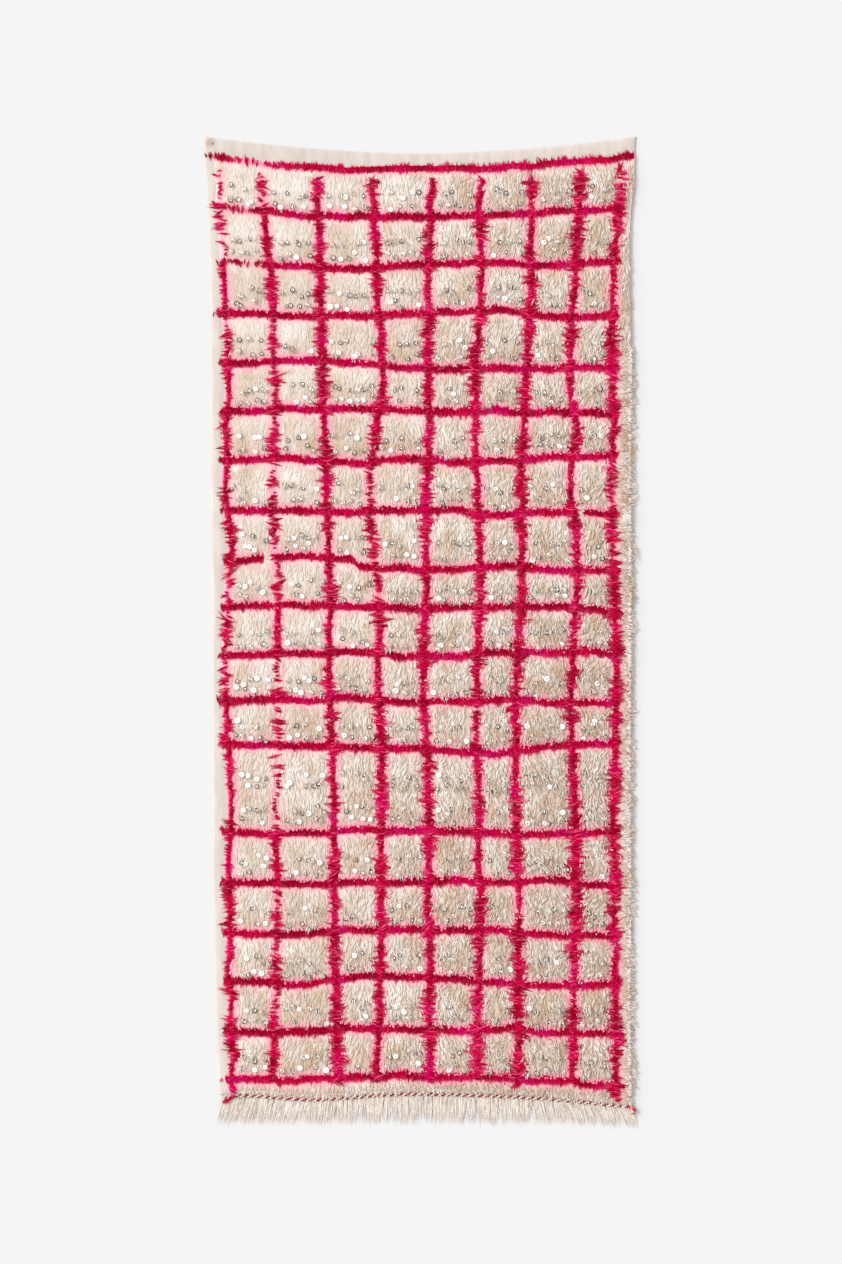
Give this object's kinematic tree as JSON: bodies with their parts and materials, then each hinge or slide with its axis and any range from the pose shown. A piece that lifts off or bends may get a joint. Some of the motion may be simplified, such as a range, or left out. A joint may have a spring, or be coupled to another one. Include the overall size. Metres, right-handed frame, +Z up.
{
  "type": "handira wedding blanket",
  "caption": "Long handwoven wool blanket lying face up, with ivory fleece, a rose grid of pile, sewn sequins, a plain heading and selvedge, and a twined edge with a fringe.",
  "frame": {"origin": "centre of the blanket's outline, on the surface that it lies on", "axes": "+Y along the length towards the plain heading, +X to the right when seen from above with the heading away, +Z up out of the face"},
  "size_m": [1.058, 2.4294, 0.0192],
  "materials": {
    "ivory_wool": "matt shaggy fleece",
    "warp_yarn": "matt spun yarn",
    "rose_wool": "matt dyed wool pile",
    "sequin_metal": "bright, with tarnished rims"
  },
  "bodies": {
    "root": {"blanket": "ivory_wool", "fringe": "warp_yarn", "edge_cord": "rose_wool"}
  },
  "joints": []
}
